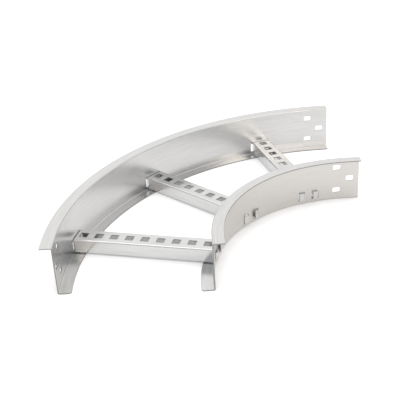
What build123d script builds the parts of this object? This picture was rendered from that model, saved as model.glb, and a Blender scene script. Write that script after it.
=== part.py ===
"""Flat 90 degree bend of a ladder-type cable tray, in bright folded sheet. All sizes in millimetres.

Two curved side rails of Z-shaped section carry three punched channel rungs.
Each rung's end tabs pass through slots in the rails and are folded over on the outside.
The origin is the middle of the bend's outer box, on the surface that it lies on.
The front end of the bend faces -Y and its right end faces +X.
"""

from build123d import *
import os
from math import sqrt

# Driving sizes of the bend
tray_width = 292
inner_radius = 300
bend_angle = 90
outer_tail = 15
inner_tail = 35

# Driving sizes of the side rails
rail_height = 100
rail_sheet = 2.0
rail_fold_radius = 3.0
top_flange = 24
bottom_flange = 26
flange_corner_radius = 4

# Coupling holes, three in a triangle at each rail end
coupling_hole_length = 16
coupling_hole_height = 11
coupling_hole_corner = 2.5
coupling_near = 20
coupling_far = 49
coupling_rise = 27

# Rungs
rung_count = 3
rung_width = 44
rung_height = 28
rung_sheet = 1.5
rung_fold_radius = 1.5
rung_hole_count = 9
rung_hole = 17

# Rung tabs and the slots that they pass through
tab_height = 18.5
tab_rise = 4.3
tab_length = 9
tab_fold_angle = 85
tab_fold_radius = 1.5
tab_root = 3
slot_width = 16
slot_play_below = 0.5
slot_play_above = 1.5
slot_play_outer = 4.8
slot_play_inner = 2.0

# Clearances between the pieces
rung_end_clearance = 1.0
rung_floor_clearance = 2.2
tab_clearance = 0.2

# Sizes that follow
outer_radius = inner_radius + tray_width
outer_reach = outer_radius + top_flange
tail_reach = max(inner_tail, outer_tail)
bend_centre = Vector((outer_reach - tail_reach) / 2, -(outer_reach - tail_reach) / 2, 0)
rung_floor = rail_sheet + rung_floor_clearance
rung_top = rung_floor + rung_height
rung_turns = [bend_angle * (number - 0.5) / rung_count for number in range(1, rung_count + 1)]
rung_hole_pitch = tray_width / rung_hole_count
tab_floor = rung_floor + tab_rise
slot_floor = tab_floor - slot_play_below
slot_height = tab_height + slot_play_below + slot_play_above
half_rung = rung_width / 2
tab_face = half_rung - rung_sheet
punch_depth = 6 * rail_sheet
up = Vector(0, 0, 1)


def outward_at(turn):
    """Direction from the bend's centre to its rails, turned from the front end towards the right end."""
    return Vector(-1, 0, 0).rotate(Axis.Z, -turn)


def across_plane(turn):
    """Upright plane across the rails: local x points outwards, local y up, and the normal along the bend."""
    outward = outward_at(turn)
    return Plane(origin=bend_centre, x_dir=outward, z_dir=outward.cross(up))


def facing_plane(turn, radius, along=0.0):
    """Upright plane whose normal points outwards: local x runs back towards the front end, local y up."""
    outward = outward_at(turn)
    forward = outward.cross(up)
    return Plane(origin=bend_centre + outward * radius + forward * along, x_dir=-forward, z_dir=outward)


def level_plane(turn, height):
    """Level plane: local x points outwards from the bend's centre, local y back towards the front end."""
    return Plane(origin=bend_centre + up * height, x_dir=outward_at(turn), z_dir=up)


def chord_distance(radius, offset):
    """Distance from the bend's centre, along a rung, to a round face of that radius at an offset from its middle."""
    return sqrt(radius**2 - offset**2)


def rail_section(turn, face_radius, side):
    """Z section of a rail. side is 1 where the top flange points outwards and -1 where it points to the centre."""
    with BuildSketch(across_plane(turn)) as section:
        with BuildLine():
            Polyline(
                (face_radius + side * top_flange, rail_height),
                (face_radius, rail_height),
                (face_radius, rail_sheet),
                (face_radius - side * (bottom_flange - rail_sheet), rail_sheet),
            )
            offset(amount=rail_sheet, side=Side.LEFT if side > 0 else Side.RIGHT, kind=Kind.INTERSECTION)
        make_face()

        # Outer corners of the two folds, which are tight on the inside
        web_middle = (face_radius + side * rail_sheet / 2, rail_height / 2)
        levels = section.vertices().group_by(Axis.Y)
        fillet([level.sort_by_distance(web_middle)[0] for level in (levels[0], levels[-1])], rail_fold_radius)
    return section.sketch


def make_rail(face_radius, side, tail, slot_play):
    """One curved rail with its straight ends, coupling holes and rung slots."""
    with BuildPart() as rail:
        add(rail_section(0, face_radius, side))
        revolve(axis=Axis(bend_centre, (0, 0, -1)), revolution_arc=bend_angle)
        extrude(rail_section(0, face_radius, side), amount=-tail)
        extrude(rail_section(bend_angle, face_radius, side), amount=tail)

        # Free corners of the bottom flange, at the two ends
        low_corners = rail.edges().filter_by(Axis.Z).group_by(Axis.Z)[0]
        fillet(low_corners.sort_by_distance(bend_centre)[-2:], flange_corner_radius)

        # Coupling holes, measured from each end of the rail
        for end_plane, away in (
            (facing_plane(0, face_radius, -tail), -1),
            (facing_plane(bend_angle, face_radius, tail), 1),
        ):
            with BuildSketch(end_plane):
                with Locations(
                    (away * coupling_near, rail_height / 2),
                    (away * coupling_far, rail_height / 2 + coupling_rise),
                    (away * coupling_far, rail_height / 2 - coupling_rise),
                ):
                    RectangleRounded(coupling_hole_length, coupling_hole_height, coupling_hole_corner)
            extrude(amount=punch_depth, both=True, mode=Mode.SUBTRACT)

        # Two slots for each rung, one beside each of its walls
        slot_offset = half_rung + slot_play - slot_width / 2
        for turn in rung_turns:
            with BuildSketch(facing_plane(turn, face_radius)):
                with Locations((0, slot_floor + slot_height / 2)):
                    with GridLocations(2 * slot_offset, 0, 2, 1):
                        Rectangle(slot_width, slot_height)
            extrude(amount=punch_depth, both=True, mode=Mode.SUBTRACT)
    return rail


def make_rung(turn):
    """One channel rung, open below, with its punched top and four folded end tabs."""
    inner_end = inner_radius + rung_end_clearance
    outer_end = chord_distance(outer_radius, half_rung) - rung_end_clearance
    with BuildPart() as rung:
        # Folded channel, carried from rail to rail
        with BuildSketch(facing_plane(turn, inner_end)):
            with BuildLine():
                FilletPolyline(
                    (-half_rung, rung_floor),
                    (-half_rung, rung_top),
                    (half_rung, rung_top),
                    (half_rung, rung_floor),
                    radius=rung_fold_radius + rung_sheet,
                )
                offset(amount=rung_sheet, side=Side.RIGHT)
            make_face()
        extrude(amount=outer_end - inner_end)

        # Square holes in the top
        with BuildSketch(level_plane(turn, rung_top)):
            with Locations(((inner_radius + outer_radius) / 2, 0)):
                with GridLocations(rung_hole_pitch, 0, rung_hole_count, 1):
                    Rectangle(rung_hole, rung_hole)
        extrude(amount=-2 * rung_sheet, mode=Mode.SUBTRACT)

        # End tabs, carried on from the walls and folded towards the middle of the rung
        with BuildSketch(level_plane(turn, tab_floor)):
            for web_radius, rung_end, away in (
                (outer_radius + rail_sheet, outer_end, 1),
                (inner_radius - rail_sheet, inner_end, -1),
            ):
                fold_start = chord_distance(web_radius, tab_face) + away * tab_clearance
                for wall in (1, -1):
                    hand = away * wall
                    with BuildLine():
                        neck = Line(
                            (rung_end - away * tab_root, wall * tab_face),
                            (fold_start, wall * tab_face),
                        )
                        fold = JernArc(neck @ 1, (away, 0), tab_fold_radius, -hand * tab_fold_angle)
                        Line(fold @ 1, fold @ 1 + tab_length * (fold % 1))
                        offset(amount=rung_sheet, side=Side.LEFT if hand > 0 else Side.RIGHT)
                    make_face()
        extrude(amount=tab_height)
    return rung


os.makedirs("parts", exist_ok=True)

outer_rail = make_rail(outer_radius, 1, outer_tail, slot_play_outer)
outer_rail.part.label = "outer_rail"
export_step(outer_rail.part, "parts/outer_rail.step")

inner_rail = make_rail(inner_radius, -1, inner_tail, slot_play_inner)
inner_rail.part.label = "inner_rail"
export_step(inner_rail.part, "parts/inner_rail.step")

for number, turn in enumerate(rung_turns, start=1):
    rung = make_rung(turn)
    rung.part.label = f"rung_{number}"
    export_step(rung.part, f"parts/rung_{number}.step")
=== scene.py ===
"""Looks of a flat 90 degree cable tray bend in bright cold-rolled stainless sheet.

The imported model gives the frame. This script draws the two side rails and the three rungs again
as finer surfaces in the same places, with round folds, eased sheet edges and cut openings, and
dresses them. Sizes are in millimetres until a mesh is made, and every mesh is in metres.
"""

import logging
from dataclasses import dataclass
from enum import Enum
from math import cos, hypot, radians, sin
from typing import Any

import bmesh
import bpy
import numpy as np
from mathutils import Matrix, Vector


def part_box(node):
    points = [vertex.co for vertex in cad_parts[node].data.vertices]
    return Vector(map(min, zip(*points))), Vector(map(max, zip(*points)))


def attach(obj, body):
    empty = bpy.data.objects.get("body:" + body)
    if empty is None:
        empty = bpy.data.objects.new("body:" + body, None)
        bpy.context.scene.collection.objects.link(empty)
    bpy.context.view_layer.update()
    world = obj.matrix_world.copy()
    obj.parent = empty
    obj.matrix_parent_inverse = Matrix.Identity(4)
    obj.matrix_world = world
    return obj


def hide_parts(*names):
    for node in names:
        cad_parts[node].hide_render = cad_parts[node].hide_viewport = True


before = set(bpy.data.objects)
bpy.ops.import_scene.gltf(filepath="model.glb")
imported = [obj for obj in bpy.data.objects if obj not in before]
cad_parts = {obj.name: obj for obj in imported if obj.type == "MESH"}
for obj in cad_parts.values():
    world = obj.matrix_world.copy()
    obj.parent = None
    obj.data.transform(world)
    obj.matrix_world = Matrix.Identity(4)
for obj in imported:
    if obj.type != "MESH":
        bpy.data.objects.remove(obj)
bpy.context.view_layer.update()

MM = 0.001
UP = np.array([0.0, 0.0, 1.0])
GRAIN = "grain"
WHITE = "#FFFFFF"

# Signs of a rectangle's corners, in order round it
CORNER_SIGNS = ((-1, -1), (1, -1), (1, 1), (-1, 1))

# Points on each round corner of a folded sheet's outline
FOLD_STEPS = 7

# A turn between two faces that stays a crease, in degrees
CREASE_TURN = 32.0

# How far large faces lead the shading of round ones, where 50 is evenly and 100 is the most
FLAT_WEIGHT = 80

log = logging.getLogger("cable_tray_bend")


class Rail(Enum):
    """The two side rails, with the way from the rungs to each: 1 is away from the bend's centre."""

    OUTER = 1
    INNER = -1


class Wall(Enum):
    """A rung's two walls, with the way to each: 1 is onward, towards the bend's right end."""

    FAR = 1
    NEAR = -1


class Face(Enum):
    """The faces of a folded sheet, numbered as material slots."""

    BRIGHT = 0
    DULL = 1
    CUT = 2


class Joining(Enum):
    """What one mesh does to another."""

    CUT = "DIFFERENCE"
    UNITE = "UNION"


@dataclass(frozen=True)
class Layout:
    """Sizes that the rails and the rungs share, and the directions round the bend.

    The turn is 0 at the front end of the curve and grows to the bend's angle at the right end.
    """

    centre: tuple[float, float]
    inner_radius: float = 300.0
    outer_radius: float = 592.0
    bend_angle: float = 90.0
    outer_tail: float = 15.0
    inner_tail: float = 35.0
    rail_height: float = 100.0
    rail_sheet: float = 2.0
    rung_count: int = 3
    rung_width: float = 44.0
    rung_sheet: float = 1.5
    rung_floor: float = 4.2
    rung_height: float = 28.0
    rung_end_clearance: float = 1.0
    tab_rise: float = 4.3
    tab_height: float = 18.5
    tab_clearance: float = 0.2

    @classmethod
    def from_frame(cls) -> "Layout":
        """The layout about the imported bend's centre, one tail in from the outer rail's two ends."""
        low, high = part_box("outer_rail")
        return cls(centre=(high.x / MM - cls.outer_tail, low.y / MM + cls.outer_tail))

    @property
    def rung_turns(self) -> list[float]:
        """Turn of each rung's middle line, in degrees."""
        step = self.bend_angle / self.rung_count
        return [step * (number + 0.5) for number in range(self.rung_count)]

    def outward(self, turn: np.ndarray) -> np.ndarray:
        """Unit vector away from the bend's centre, (-cos, sin, 0) of the turn."""
        angle = np.radians(np.asarray(turn, float))
        return np.stack([-np.cos(angle), np.sin(angle), np.zeros_like(angle)], axis=-1)

    def onward(self, turn: np.ndarray) -> np.ndarray:
        """Unit vector along the bend, from the front end to the right end: outward crossed with up."""
        return np.cross(self.outward(turn), UP)

    def place(self, turn: Any, radius: Any, along: Any, height: Any) -> np.ndarray:
        """Points of the bend in the frame.

        Args:
            turn: angle round the bend, in degrees.
            radius: distance from the bend's centre along the outward direction.
            along: further step along the onward direction.
            height: height above the surface that the bend lies on.

        Returns:
            Array of points in millimetres, centre + radius * outward + along * onward + height * up.
        """
        turn, radius, along, height = np.broadcast_arrays(turn, radius, along, height)
        points = radius[..., None] * self.outward(turn) + along[..., None] * self.onward(turn)
        points = points + height[..., None] * UP
        return points + np.array([self.centre[0], self.centre[1], 0.0])


def linear(hex_colour: str) -> tuple[float, float, float, float]:
    """Linear colour of an sRGB hex value.

    Each share c becomes c / 12.92 up to 0.04045, and ((c + 0.055) / 1.055) ^ 2.4 above it.

    Args:
        hex_colour: the colour as #RRGGBB.

    Returns:
        Red, green, blue and an alpha of 1.
    """
    shares = [int(hex_colour[i : i + 2], 16) / 255 for i in (1, 3, 5)]
    red, green, blue = (c / 12.92 if c <= 0.04045 else ((c + 0.055) / 1.055) ** 2.4 for c in shares)
    return red, green, blue, 1.0


def add_node(
    tree: bpy.types.NodeTree,
    kind: str,
    settings: dict[str | int, Any] | None = None,
    links: dict[str | int, Any] | None = None,
) -> bpy.types.Node:
    """A new node with its settings and its links.

    Args:
        tree: the node tree.
        kind: the node's type.
        settings: socket name or number, or property name, to value.
        links: input socket name or number to the output socket that feeds it.

    Returns:
        The node.
    """
    node = tree.nodes.new(kind)
    for key, value in (settings or {}).items():
        if isinstance(key, str) and hasattr(node, key):
            setattr(node, key, value)
        else:
            node.inputs[key].default_value = value
    for key, source in (links or {}).items():
        tree.links.new(source, node.inputs[key])
    return node


def empty_tree(owner: Any) -> bpy.types.NodeTree:
    """The owner's node tree, switched on and cleared.

    Args:
        owner: the material or world that has it.

    Returns:
        The node tree.
    """
    owner.use_nodes = True
    owner.node_tree.nodes.clear()
    return owner.node_tree


@dataclass(frozen=True)
class RolledSheet:
    """Cold-rolled stainless sheet: a dull mirror that smears its reflections across the sheet.

    The rolls left fine lines along the strip before it was folded, so it blurs a reflection more
    across them than along them, and streaks run along each sheet. Pickling left soft clouds in
    how sharply it reflects, and the sheet is never quite flat, so reflections bend a little.
    Sizes and depths are in millimetres.
    """

    name: str
    colour: str = "#D8D7D6"
    streak_colour: str = "#D0CFCD"
    roughness: float = 0.245
    roughness_spread: float = 0.015

    # How unevenly it blurs, and how far the smear is turned from the tangent, in whole turns
    smear: float = 0.5
    smear_turn: float = 0.25

    # The clouds' size, and the noise values between which the sharpness changes
    cloud_mm: float = 120.0
    cloud_range: tuple[float, float] = (0.3, 0.7)

    # The real lines are a few hundredths of a millimetre apart, too fine to show, so they are
    # drawn as coarse as the streaks that the eye sees
    line_mm: float = 2.5
    line_stretch: float = 30.0
    line_depth: float = 0.009
    streak_range: tuple[float, float] = (0.35, 0.6)

    # Waves of a sheet that isn't quite flat
    wave_mm: float = 140.0
    wave_depth: float = 0.2

    def material(self) -> bpy.types.Material:
        """The finish as a material, made once.

        The streaks are noise on the grain's coordinates, stretched along the sheet. The clouds
        and the waves are noise on the object's own coordinates. The tangent runs along the sheet,
        and a quarter turn from it smears the reflections across the sheet.

        Returns:
            The material.
        """
        found = bpy.data.materials.get(self.name)
        if found:
            return found
        material = bpy.data.materials.new(self.name)
        tree = empty_tree(material)
        spot = add_node(tree, "ShaderNodeTexCoord")
        grain = add_node(tree, "ShaderNodeUVMap", {"uv_map": GRAIN})
        along = add_node(tree, "ShaderNodeTangent", {"direction_type": "UV_MAP", "uv_map": GRAIN})
        clouds = add_node(
            tree,
            "ShaderNodeTexNoise",
            {"Scale": 1 / (self.cloud_mm * MM), "Detail": 2.0, "Roughness": 0.5},
            {"Vector": spot.outputs["Object"]},
        )
        stretched = add_node(
            tree,
            "ShaderNodeMapping",
            {"Scale": (1 / (self.line_mm * self.line_stretch * MM), 1 / (self.line_mm * MM), 1.0)},
            {"Vector": grain.outputs["UV"]},
        )
        lines = add_node(
            tree,
            "ShaderNodeTexNoise",
            {"Scale": 1.0, "Detail": 2.0, "Roughness": 0.6},
            {"Vector": stretched.outputs["Vector"]},
        )
        waves = add_node(
            tree,
            "ShaderNodeTexNoise",
            {"Scale": 1 / (self.wave_mm * MM), "Detail": 0.0},
            {"Vector": spot.outputs["Object"]},
        )
        streaked = add_node(
            tree,
            "ShaderNodeMapRange",
            {"From Min": self.streak_range[0], "From Max": self.streak_range[1]},
            {"Value": lines.outputs["Fac"]},
        )
        colour = add_node(
            tree,
            "ShaderNodeMix",
            {"data_type": "RGBA", 6: linear(self.streak_colour), 7: linear(self.colour)},
            {0: streaked.outputs["Result"]},
        )
        blur = add_node(
            tree,
            "ShaderNodeMapRange",
            {
                "From Min": self.cloud_range[0],
                "From Max": self.cloud_range[1],
                "To Min": self.roughness - self.roughness_spread,
                "To Max": self.roughness + self.roughness_spread,
            },
            {"Value": clouds.outputs["Fac"]},
        )
        wavy = add_node(
            tree,
            "ShaderNodeBump",
            {"Strength": 1.0, "Distance": self.wave_depth * MM},
            {"Height": waves.outputs["Fac"]},
        )
        lined = add_node(
            tree,
            "ShaderNodeBump",
            {"Strength": 1.0, "Distance": self.line_depth * MM},
            {"Height": lines.outputs["Fac"], "Normal": wavy.outputs["Normal"]},
        )
        metal = add_node(
            tree,
            "ShaderNodeBsdfPrincipled",
            {"Metallic": 1.0, "Anisotropic": self.smear, "Anisotropic Rotation": self.smear_turn},
            {
                "Base Color": colour.outputs[2],
                "Roughness": blur.outputs["Result"],
                "Normal": lined.outputs["Normal"],
                "Tangent": along.outputs["Tangent"],
            },
        )
        add_node(tree, "ShaderNodeOutputMaterial", links={"Surface": metal.outputs["BSDF"]})
        return material


@dataclass(frozen=True)
class SheetFinishes:
    """The finishes on a folded sheet's faces.

    One side of the sheet is bright. The other is duller and a little warmer, and blurs more what
    it reflects. The sheared edges blur it further. They are darker partly because sheared metal is
    duller and partly as painted shade, so that they outline the sheet like the shadow gaps along
    its edges.
    """

    bright: RolledSheet
    dull: RolledSheet
    cut: RolledSheet

    def on(self, face: Face) -> RolledSheet:
        """The finish of one face."""
        return {Face.BRIGHT: self.bright, Face.DULL: self.dull, Face.CUT: self.cut}[face]


def chord_distance(radius: float, offset: float) -> float:
    """Distance along a rung to a round face, sqrt(radius^2 - offset^2) at an offset from its middle."""
    return float(np.sqrt(radius**2 - offset**2))


def rounded_outline(corners: list[tuple[float, float, float]], steps: int = FOLD_STEPS) -> np.ndarray:
    """Closed outline whose corners are round.

    Each corner of radius r becomes an arc that touches both of its sides, r / tan(half angle)
    from the corner. Seen from the arc's middle, a point at share t of its sweep a is the sum of
    sin((1 - t) a) / sin(a) times its start and sin(t a) / sin(a) times its end.

    Args:
        corners: x, y and radius of each corner, in order round the outline.
        steps: points on each arc.

    Returns:
        Array of x, y points in the same order.
    """
    spots = np.array([corner[:2] for corner in corners], float)
    rows = []
    for index, (_, _, radius) in enumerate(corners):
        here = spots[index]
        back = spots[index - 1] - here
        ahead = spots[(index + 1) % len(spots)] - here
        back, ahead = back / hypot(*back), ahead / hypot(*ahead)
        half = np.arccos(np.clip(back @ ahead, -1, 1)) / 2
        bisector = (back + ahead) / hypot(*(back + ahead))
        middle = here + bisector * radius / np.sin(half)
        start = here + back * radius / np.tan(half) - middle
        end = here + ahead * radius / np.tan(half) - middle
        share = np.linspace(0, 1, steps)[:, None]
        sweep = np.pi - 2 * half
        arc = (np.sin((1 - share) * sweep) * start + np.sin(share * sweep) * end) / np.sin(sweep)
        rows.append(middle + arc)
    return np.concatenate(rows)


def rectangle(length: float, width: float, corner: float, steps: int = FOLD_STEPS) -> np.ndarray:
    """Outline of a rectangle about the origin, with round corners.

    Args:
        length: its size along x.
        width: its size along y.
        corner: radius of its corners.
        steps: points on each corner.

    Returns:
        Array of x, y points.
    """
    corners = [(x * length / 2, y * width / 2, corner) for x, y in CORNER_SIGNS]
    return rounded_outline(corners, steps)


def outline_slots(arcs: list[Face], runs: list[Face], steps: int = FOLD_STEPS) -> list[int]:
    """Slot numbers of an outline's segments, for round corners of that many points.

    Args:
        arcs: the sheet's face at each corner's arc.
        runs: its face along the straight run after each corner.
        steps: points on each arc.

    Returns:
        One slot number for each segment of the outline, in order.
    """
    return [face.value for arc, run in zip(arcs, runs) for face in [arc] * (steps - 1) + [run]]


def folded_sheet_slots() -> list[int]:
    """Slot numbers round a sheet with two folds: bright side, cut edge, dull side, cut edge.

    Returns:
        One slot number for each segment of the outline, in order.
    """
    arcs = [Face.CUT, Face.BRIGHT, Face.BRIGHT, Face.CUT, Face.CUT, Face.DULL, Face.DULL, Face.CUT]
    runs = [Face.BRIGHT] * 3 + [Face.CUT] + [Face.DULL] * 3 + [Face.CUT]
    return outline_slots(arcs, runs)


def solid_mesh(
    name: str,
    shells: list[np.ndarray],
    segment_slots: list[int] | None = None,
    lengths: np.ndarray | None = None,
) -> bpy.types.Mesh:
    """Mesh of closed shells, each one a closed outline carried along stations.

    Point (i, j) of a shell, station i and outline point j, joins (i + 1, j), (i + 1, j + 1) and
    (i, j + 1), where j wraps round, and one face closes each end.

    Args:
        name: name of the mesh.
        shells: arrays of stations by outline points by 3, in millimetres.
        segment_slots: slot number of each segment of the outline. Without it, and on the ends,
            the sheet is cut.
        lengths: how far along the sheet each station lies, for the grain.

    Returns:
        The mesh, in metres, with its faces outwards and the grain's coordinates as a UV map.
    """
    points, faces, grain, slots, first = [], [], [], [], 0
    for shell in shells:
        stations, outline, _ = shell.shape
        index = first + np.arange(stations * outline).reshape(stations, outline)
        ahead = np.roll(index, -1, axis=1)
        quads = np.stack([index[:-1], ahead[:-1], ahead[1:], index[1:]], axis=-1)
        faces += quads.reshape(-1, 4).tolist() + [index[0, ::-1].tolist(), index[-1].tolist()]
        around = segment_slots or [Face.CUT.value] * outline
        slots += around * (stations - 1) + [Face.CUT.value] * 2
        steps = np.linalg.norm(np.diff(shell[0], axis=0), axis=1)
        girth = np.concatenate([[0.0], np.cumsum(steps)])
        length = np.arange(stations, dtype=float) if lengths is None else lengths
        spread = np.broadcast_arrays(length[:, None], girth[None, :])
        grain.append(np.stack(spread, axis=-1).reshape(-1, 2))
        points.append(shell.reshape(-1, 3))
        first += stations * outline
    mesh = bpy.data.meshes.new(name)
    mesh.from_pydata((np.concatenate(points) * MM).tolist(), [], faces)
    for _ in Face:
        mesh.materials.append(None)
    mesh.polygons.foreach_set("material_index", slots)
    corners = np.zeros(len(mesh.loops), np.int32)
    mesh.loops.foreach_get("vertex_index", corners)
    layer = mesh.uv_layers.new(name=GRAIN)
    layer.data.foreach_set("uv", (np.concatenate(grain)[corners] * MM).astype(np.float32).ravel())
    shape = bmesh.new()
    shape.from_mesh(mesh)
    bmesh.ops.recalc_face_normals(shape, faces=shape.faces)
    shape.to_mesh(mesh)
    shape.free()
    return mesh


def combined(body: bpy.types.Mesh, tool: bpy.types.Mesh, joining: Joining) -> bpy.types.Mesh:
    """Body with the tool cut out of it or united with it.

    Args:
        body: closed mesh that stays.
        tool: closed mesh that cuts or joins.
        joining: which of the two is done.

    Returns:
        The new mesh. The two that it was made from are removed.
    """
    holders = [bpy.data.objects.new(mesh.name, mesh) for mesh in (body, tool)]
    for holder in holders:
        bpy.context.scene.collection.objects.link(holder)
    step = holders[0].modifiers.new("joining", "BOOLEAN")
    step.operation = joining.value
    step.solver = "EXACT"
    step.object = holders[1]
    graph = bpy.context.evaluated_depsgraph_get()
    result = bpy.data.meshes.new_from_object(holders[0].evaluated_get(graph))
    for holder in holders:
        bpy.data.objects.remove(holder)
    bpy.data.meshes.remove(body)
    bpy.data.meshes.remove(tool)
    return result


def finished_piece(
    name: str, mesh: bpy.types.Mesh, finishes: SheetFinishes, node: str
) -> bpy.types.Object:
    """Object of a finished mesh, dressed, riding on the frame and standing for its node.

    Args:
        name: the piece's name.
        mesh: its mesh, in place.
        finishes: the finishes of the sheet's faces.
        node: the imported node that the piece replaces.

    Returns:
        The object.
    """
    mesh.name = name
    for face in Face:
        mesh.materials[face.value] = finishes.on(face).material()
    mesh.shade_smooth()
    mesh.set_sharp_from_angle(angle=radians(CREASE_TURN))
    piece = bpy.data.objects.new(name, mesh)
    bpy.context.scene.collection.objects.link(piece)
    flat = piece.modifiers.new("flat_faces", "WEIGHTED_NORMAL")
    flat.mode = "FACE_AREA"
    flat.weight = FLAT_WEIGHT
    flat.keep_sharp = True
    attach(piece, "root")
    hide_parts(node)
    return piece


def report(piece: bpy.types.Object) -> None:
    """Logs a piece's name and how many of its faces are bright, dull and cut."""
    counts = np.bincount([face.material_index for face in piece.data.polygons], minlength=len(Face))
    log.info("%s: %d bright, %d dull and %d cut faces", piece.name, *counts)


@dataclass
class SideRail:
    """A curved Z-shaped side rail with straight ends, coupling holes and rung slots."""

    name: str
    layout: Layout
    rail: Rail
    face_radius: float
    tail: float
    slot_play: float
    top_flange: float = 24.0
    bottom_flange: float = 26.0
    fold_radius: float = 1.5
    edge_ease: float = 0.4
    tip_corner: float = 4.0
    tip_steps: int = 8
    hole_length: float = 16.0
    hole_height: float = 11.0
    hole_corner: float = 2.5
    hole_near: float = 20.0
    hole_far: float = 49.0
    hole_rise: float = 27.0
    slot_width: float = 16.0
    slot_play_below: float = 0.5
    slot_play_above: float = 1.5
    punch_reach: float = 8.0
    curve_steps: int = 180

    def section(self) -> np.ndarray:
        """Closed outline of the Z section, with round folds and eased edges.

        It runs down the bright side, from the top flange's tip over the web to the bottom
        flange's tip, and back up the dull side.

        Returns:
            Array of radius, height points.
        """
        height, sheet = self.layout.rail_height, self.layout.rail_sheet
        inside, outside = self.fold_radius, self.fold_radius + sheet
        web, way = self.face_radius, self.rail.value
        top_tip = web + way * self.top_flange
        low_tip = web - way * (self.bottom_flange - sheet)
        back = web + way * sheet
        return rounded_outline(
            [
                (top_tip, height, self.edge_ease),
                (web, height, outside),
                (web, sheet, inside),
                (low_tip, sheet, self.edge_ease),
                (low_tip, 0.0, self.edge_ease),
                (back, 0.0, outside),
                (back, height - sheet, inside),
                (top_tip, height - sheet, self.edge_ease),
            ]
        )

    def mesh(self) -> bpy.types.Mesh:
        """The section carried along the rail, with the bottom flange's end corners drawn round.

        The stations run along the front end, round the curve and along the right end. Within a
        corner's radius r of an end, at a distance u from it, the bottom flange is shorter by
        r - sqrt(r^2 - (r - u)^2).

        Returns:
            The closed mesh, before its holes are cut.
        """
        outline = self.section()
        corner = self.tip_corner * (1 - np.cos(np.linspace(0, np.pi / 2, self.tip_steps)))
        front = np.concatenate([corner - self.tail, [0.0]])
        curve = np.linspace(0, self.layout.bend_angle, self.curve_steps + 1)[1:-1]
        last = np.full(front.size, self.layout.bend_angle)
        turn = np.concatenate([np.zeros(front.size), curve, last])
        along = np.concatenate([front, np.zeros(curve.size), -front[::-1]])
        travel = self.face_radius * np.radians(turn) + along
        from_end = np.minimum(travel - travel[0], travel[-1] - travel)
        inside = np.clip(self.tip_corner - from_end, 0, self.tip_corner)
        drawn_back = self.tip_corner - np.sqrt(self.tip_corner**2 - inside**2)
        radius = np.broadcast_to(outline[:, 0], (turn.size, len(outline))).copy()
        overhang = -self.rail.value * (outline[:, 0] - self.face_radius)
        radius += self.rail.value * drawn_back[:, None] * (overhang > self.bottom_flange / 2)
        points = self.layout.place(turn[:, None], radius, along[:, None], outline[None, :, 1])
        return solid_mesh(self.name, [points], folded_sheet_slots(), travel)

    def coupling_prisms(self, reach: np.ndarray) -> list[np.ndarray]:
        """Prisms that cut the coupling holes, three in a triangle at each end.

        Each is a hole's outline carried straight through the web, from one radius to the other.

        Args:
            reach: the two radii between which they run.

        Returns:
            The prisms, each two stations by outline points by 3.
        """
        layout = self.layout
        hole = rectangle(self.hole_length, self.hole_height, self.hole_corner)
        spots = ((self.hole_near, 0), (self.hole_far, 1), (self.hole_far, -1))
        prisms = []
        for turn, way in ((0.0, -1), (layout.bend_angle, 1)):
            for inward, rise in spots:
                along = way * (self.tail - inward) + hole[:, 0]
                height = layout.rail_height / 2 + rise * self.hole_rise + hole[:, 1]
                prisms.append(layout.place(turn, reach, along[None], height[None]))
        return prisms

    def slot_prisms(self, reach: np.ndarray) -> list[np.ndarray]:
        """Prisms that cut the two slots of each rung, one beside each of its walls.

        Each is a slot's outline carried straight through the web, from one radius to the other.

        Args:
            reach: the two radii between which they run.

        Returns:
            The prisms, each two stations by four points by 3.
        """
        layout = self.layout
        low = layout.rung_floor + layout.tab_rise - self.slot_play_below
        high = low + layout.tab_height + self.slot_play_below + self.slot_play_above
        near = layout.rung_width / 2 + self.slot_play - self.slot_width
        far = near + self.slot_width
        along = np.array([near, far, far, near])
        height = np.array([low, low, high, high])
        return [
            layout.place(turn, reach, wall.value * along[None], height[None])
            for turn in layout.rung_turns
            for wall in (Wall.NEAR, Wall.FAR)
        ]

    def build(self, finishes: SheetFinishes) -> bpy.types.Object:
        """The finished rail.

        Args:
            finishes: the finishes of the sheet's faces.

        Returns:
            The rail's object, in the place of its node.
        """
        reach = np.array([-self.punch_reach, self.punch_reach])[:, None] + self.face_radius
        prisms = self.coupling_prisms(reach) + self.slot_prisms(reach)
        punches = solid_mesh(f"{self.name}_punches", prisms)
        mesh = combined(self.mesh(), punches, Joining.CUT)
        return finished_piece(f"{self.name}_sheet", mesh, finishes, self.name)


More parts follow.
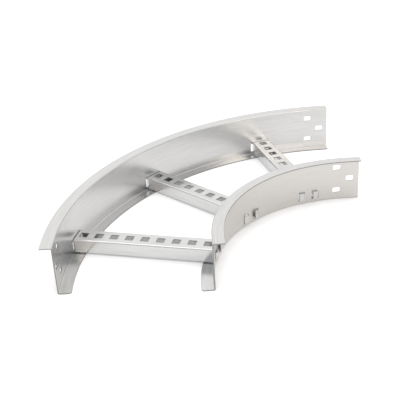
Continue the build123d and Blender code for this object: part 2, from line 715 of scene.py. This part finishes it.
@dataclass
class Rung:
    """A channel rung, open below, with its square holes and its four folded end tabs."""

    name: str
    layout: Layout
    turn: float
    hole_count: int = 9
    hole_size: float = 17.0
    hole_corner: float = 1.0
    hole_steps: int = 4
    fold_radius: float = 1.5
    edge_ease: float = 0.3
    tab_length: float = 9.0
    tab_fold_angle: float = 85.0
    tab_fold_steps: int = 9
    tab_edge_steps: int = 3
    tab_root: float = 3.0

    def end(self, rail: Rail) -> float:
        """Distance of the channel's end from the bend's centre.

        The end is cut square. It stops a clearance short of where its walls would meet the outer
        rail's web, or where its middle would meet the inner rail's.

        Args:
            rail: the rail that the end stands at.

        Returns:
            The distance in millimetres.
        """
        layout = self.layout
        if rail is Rail.OUTER:
            reach = chord_distance(layout.outer_radius, layout.rung_width / 2)
            return reach - layout.rung_end_clearance
        return layout.inner_radius + layout.rung_end_clearance

    def channel(self) -> np.ndarray:
        """The channel's closed outline, along and height, carried straight from rail to rail.

        Returns:
            Two stations by outline points by 3, in millimetres.
        """
        layout = self.layout
        half, sheet = layout.rung_width / 2, layout.rung_sheet
        low, high = layout.rung_floor, layout.rung_floor + layout.rung_height
        outer_fold = self.fold_radius + sheet
        outline = rounded_outline(
            [
                (-half, low, self.edge_ease),
                (-half, high, outer_fold),
                (half, high, outer_fold),
                (half, low, self.edge_ease),
                (half - sheet, low, self.edge_ease),
                (half - sheet, high - sheet, self.fold_radius),
                (sheet - half, high - sheet, self.fold_radius),
                (sheet - half, low, self.edge_ease),
            ]
        )
        ends = np.array([self.end(Rail.INNER), self.end(Rail.OUTER)])
        return layout.place(self.turn, ends[:, None], outline[None, :, 0], outline[None, :, 1])

    def hole_prisms(self) -> list[np.ndarray]:
        """Upright prisms that cut the row of square holes in the top, a pitch apart.

        Returns:
            The prisms, each two stations by outline points by 3.
        """
        layout = self.layout
        pitch = (layout.outer_radius - layout.inner_radius) / self.hole_count
        top = layout.rung_floor + layout.rung_height
        depth = np.array([top - 2 * layout.rung_sheet, top + layout.rung_sheet])[:, None]
        square = rectangle(self.hole_size, self.hole_size, self.hole_corner, self.hole_steps)
        along, across = square[None, :, 1], square[None, :, 0]
        middles = layout.inner_radius + pitch * (np.arange(self.hole_count) + 0.5)
        return [layout.place(self.turn, middle + across, along, depth) for middle in middles]

    def tab(self, rail: Rail, wall: Wall) -> np.ndarray:
        """One end tab: an eased strip section carried straight on from a wall and round its fold.

        Its inner face runs straight to the fold's start, then round an arc of the fold's radius
        about a point towards the rung's middle, then straight on at the fold's angle.

        Args:
            rail: the rail that the tab holds.
            wall: the wall that it belongs to.

        Returns:
            Stations by outline points by 3, in millimetres.
        """
        layout, away, side = self.layout, rail.value, wall.value
        face = layout.rung_width / 2 - layout.rung_sheet
        radius = layout.outer_radius if rail is Rail.OUTER else layout.inner_radius
        start = chord_distance(radius + away * layout.rail_sheet, face) + away * layout.tab_clearance
        fold = np.radians(np.linspace(0, self.tab_fold_angle, self.tab_fold_steps))
        out = np.concatenate([[0.0], np.sin(fold), [np.sin(fold[-1])]])
        aside = np.concatenate([[1.0], np.cos(fold), [np.cos(fold[-1])]])
        run = self.tab_length * np.array([cos(fold[-1]), -sin(fold[-1])])
        reach = start + away * self.fold_radius * out
        along = side * (face - self.fold_radius + self.fold_radius * aside)
        reach[0] = self.end(rail) - away * self.tab_root
        reach[-1] += away * run[0]
        along[-1] += side * run[1]
        low = layout.rung_floor + layout.tab_rise
        strip = rounded_outline(
            [
                (0.0, low, self.edge_ease),
                (layout.rung_sheet, low, self.edge_ease),
                (layout.rung_sheet, low + layout.tab_height, self.edge_ease),
                (0.0, low + layout.tab_height, self.edge_ease),
            ],
            self.tab_edge_steps,
        )
        depth, height = strip[None, :, 0], strip[None, :, 1]
        reach = reach[:, None] + away * out[:, None] * depth
        along = along[:, None] + side * aside[:, None] * depth
        return layout.place(self.turn, reach, along, height)

    def build(self, finishes: SheetFinishes) -> bpy.types.Object:
        """The finished rung.

        Args:
            finishes: the finishes of the sheet's faces.

        Returns:
            The rung's object, in the place of its node.
        """
        channel = self.channel()
        lengths = np.array([0.0, np.linalg.norm(channel[1, 0] - channel[0, 0])])
        mesh = solid_mesh(self.name, [channel], folded_sheet_slots(), lengths)
        punches = solid_mesh(f"{self.name}_punches", self.hole_prisms())
        mesh = combined(mesh, punches, Joining.CUT)
        shells = [self.tab(rail, wall) for rail in Rail for wall in Wall]
        slots = outline_slots([Face.CUT] * 4, [Face.CUT, Face.BRIGHT] * 2, self.tab_edge_steps)
        tabs = solid_mesh(f"{self.name}_tabs", shells, slots)
        mesh = combined(mesh, tabs, Joining.UNITE)
        return finished_piece(f"{self.name}_channel", mesh, finishes, self.name)


@dataclass(frozen=True)
class Lamp:
    """A soft oblong lamp that faces the middle of the object, in metres and watts."""

    name: str
    spot: tuple[float, float, float]
    size: tuple[float, float]
    watts: float
    colour: str = WHITE

    def build(self) -> None:
        """The lamp, in its place."""
        data = bpy.data.lights.new(self.name, "AREA")
        data.shape = "RECTANGLE"
        data.size, data.size_y = self.size
        data.energy = self.watts
        data.color = linear(self.colour)[:3]
        lamp = bpy.data.objects.new(self.name, data)
        lamp.location = self.spot
        lamp.rotation_euler = (-Vector(self.spot)).to_track_quat("-Z", "Y").to_euler()
        bpy.context.scene.collection.objects.link(lamp)


@dataclass(frozen=True)
class Studio:
    """The plain pale floor, the soft lights and the camera, in metres and degrees.

    The camera was fitted to the photograph's edges. Its focal length is lens_pixels in a picture
    that is picture_pixels wide.
    """

    floor_size: float = 12.0
    floor_drop: float = 0.0003
    floor_colour: str = "#E6E6E6"
    camera_glow: float = 0.5
    mirror_glow: float = 0.29
    shade_reach: float = 0.045
    sky_low: str = "#959CA5"
    sky_high: str = WHITE
    sky_strength: float = 1.1
    sky_lean: float = 0.35
    sky_full: float = 0.6
    lens_pixels: float = 806.1
    picture_pixels: float = 400.0
    sensor_mm: float = 36.0
    camera_spot: tuple[float, float, float] = (-0.0322, -1.5759, 0.8366)
    camera_azimuth: float = 0.26
    camera_elevation: float = 27.32
    camera_roll: float = -3.50
    lamps: tuple[Lamp, ...] = (
        Lamp("overhead_lamp", spot=(-0.5, 0.6, 2.2), size=(1.4, 1.4), watts=6.0),
        Lamp("front_lamp", spot=(1.35, -1.95, 1.35), size=(2.2, 1.0), watts=14.0, colour="#FFF7ED"),
    )

    def place_camera(self) -> None:
        """The camera at the photograph's viewpoint: +Y turned by azimuth, tipped down and rolled."""
        azimuth, elevation, roll = (
            radians(angle) for angle in (self.camera_azimuth, self.camera_elevation, self.camera_roll)
        )
        level_step = cos(elevation)
        forward = Vector((sin(azimuth) * level_step, cos(azimuth) * level_step, -sin(elevation)))
        level = Vector((cos(azimuth), -sin(azimuth), 0.0))
        upright = level.cross(forward)
        right = cos(roll) * level + sin(roll) * upright
        above = cos(roll) * upright - sin(roll) * level
        data = bpy.data.cameras.new("camera")
        data.sensor_width = self.sensor_mm
        data.lens = self.sensor_mm * self.lens_pixels / self.picture_pixels
        camera = bpy.data.objects.new("camera", data)
        turned = Matrix((right, above, -forward)).transposed().to_4x4()
        camera.matrix_world = Matrix.Translation(self.camera_spot) @ turned
        bpy.context.scene.collection.objects.link(camera)
        bpy.context.scene.camera = camera

    def floor_material(self) -> bpy.types.Material:
        """Matt floor paint, pale and without gloss, that shows white to the camera and in the metal.

        The glow that the camera sees fades where the object stands close over the floor, so the
        shade there stays dark.

        Returns:
            The material.
        """
        material = bpy.data.materials.new("matt_floor_paint")
        tree = empty_tree(material)
        path = add_node(tree, "ShaderNodeLightPath")
        open_share = add_node(tree, "ShaderNodeAmbientOcclusion", {"Distance": self.shade_reach})
        seen = add_node(
            tree,
            "ShaderNodeMath",
            {"operation": "MULTIPLY", 1: self.camera_glow},
            {0: path.outputs["Is Camera Ray"]},
        )
        faded = add_node(
            tree,
            "ShaderNodeMath",
            {"operation": "MULTIPLY"},
            {0: seen.outputs[0], 1: open_share.outputs["AO"]},
        )
        strength = add_node(
            tree,
            "ShaderNodeMath",
            {"operation": "MULTIPLY_ADD", 1: self.mirror_glow},
            {0: path.outputs["Is Glossy Ray"], 2: faded.outputs[0]},
        )
        matt = add_node(tree, "ShaderNodeBsdfDiffuse", {"Color": linear(self.floor_colour)})
        glow = add_node(tree, "ShaderNodeEmission", links={"Strength": strength.outputs[0]})
        both = add_node(tree, "ShaderNodeAddShader", links={0: matt.outputs[0], 1: glow.outputs[0]})
        add_node(tree, "ShaderNodeOutputMaterial", links={"Surface": both.outputs[0]})
        return material

    def lay_floor(self) -> None:
        """The floor: one wide square a hair below the object."""
        half = self.floor_size / 2
        mesh = bpy.data.meshes.new("floor")
        corners = [(x * half, y * half, -self.floor_drop) for x, y in CORNER_SIGNS]
        mesh.from_pydata(corners, [], [(0, 1, 2, 3)])
        mesh.materials.append(self.floor_material())
        floor = bpy.data.objects.new("floor", mesh)
        bpy.context.scene.collection.objects.link(floor)

    def light_sky(self) -> None:
        """A soft sky, bright overhead and beyond the object, and dimmer low down behind the camera.

        Its brightness follows z + lean * y of the direction looked in. The camera sees it as
        plain white.
        """
        world = bpy.data.worlds.new("sky")
        bpy.context.scene.world = world
        tree = empty_tree(world)
        direction = add_node(tree, "ShaderNodeTexCoord")
        parts = add_node(tree, "ShaderNodeSeparateXYZ", links={0: direction.outputs["Generated"]})
        leaning = add_node(
            tree,
            "ShaderNodeMath",
            {"operation": "MULTIPLY_ADD", 1: self.sky_lean},
            {0: parts.outputs["Y"], 2: parts.outputs["Z"]},
        )
        share = add_node(
            tree,
            "ShaderNodeMapRange",
            {"interpolation_type": "SMOOTHSTEP", "From Min": 0.0, "From Max": self.sky_full},
            {"Value": leaning.outputs[0]},
        )
        shade = add_node(
            tree,
            "ShaderNodeMix",
            {"data_type": "RGBA", 6: linear(self.sky_low), 7: linear(self.sky_high)},
            {0: share.outputs["Result"]},
        )
        lit = add_node(
            tree, "ShaderNodeBackground", {"Strength": self.sky_strength}, {"Color": shade.outputs[2]}
        )
        plain = add_node(tree, "ShaderNodeBackground", {"Color": linear(WHITE), "Strength": 1.0})
        path = add_node(tree, "ShaderNodeLightPath")
        chosen = add_node(
            tree,
            "ShaderNodeMixShader",
            links={0: path.outputs["Is Camera Ray"], 1: lit.outputs[0], 2: plain.outputs[0]},
        )
        add_node(tree, "ShaderNodeOutputWorld", links={"Surface": chosen.outputs[0]})

    def build(self) -> None:
        """The whole studio."""
        self.place_camera()
        self.lay_floor()
        self.light_sky()
        for lamp in self.lamps:
            lamp.build()


def rail_finishes() -> SheetFinishes:
    """The rails' sheet: bright towards the tray, duller and a little warmer away from it."""
    return SheetFinishes(
        bright=RolledSheet("cold_rolled_stainless_bright"),
        dull=RolledSheet(
            "cold_rolled_stainless_dull",
            colour="#D5D2CE",
            streak_colour="#D1CECA",
            roughness=0.3,
            line_depth=0.006,
        ),
        cut=sheared_edge_and_painted_shade(),
    )


def rung_finishes() -> SheetFinishes:
    """The rungs' thinner sheet: paler, flatter and less smeared, on both of its sides."""
    thin = RolledSheet(
        "cold_rolled_stainless_thin",
        colour="#DADAD9",
        streak_colour="#D1D1D0",
        roughness=0.22,
        smear=0.3,
        line_depth=0.012,
        wave_depth=0.1,
    )
    return SheetFinishes(bright=thin, dull=thin, cut=sheared_edge_and_painted_shade())


def sheared_edge_and_painted_shade() -> RolledSheet:
    """Sheared edge, blurred all ways alike, darker than the rolled sides partly as painted shade."""
    return RolledSheet(
        "sheared_stainless_edge_and_painted_shade",
        # Darker than the rolled sides partly as painted shade: dark outlines for the shadow gaps under
        # the flange edges and beside the tabs
        colour="#989693",
        streak_colour="#888683",
        roughness=0.4,
        smear=0.0,
        line_depth=0.012,
        wave_depth=0.0,
    )


def main() -> None:
    """Builds the studio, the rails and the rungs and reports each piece."""
    logging.basicConfig(level=logging.INFO, format="%(message)s")
    bpy.context.scene.view_settings.view_transform = "Standard"
    Studio().build()

    layout = Layout.from_frame()
    outer = SideRail(
        "outer_rail", layout, Rail.OUTER, layout.outer_radius, layout.outer_tail, slot_play=4.8
    )
    inner = SideRail(
        "inner_rail", layout, Rail.INNER, layout.inner_radius, layout.inner_tail, slot_play=2.0
    )
    for rail in (outer, inner):
        report(rail.build(rail_finishes()))
    for number, turn in enumerate(layout.rung_turns, start=1):
        report(Rung(f"rung_{number}", layout, turn).build(rung_finishes()))


if __name__ == "__main__":
    main()
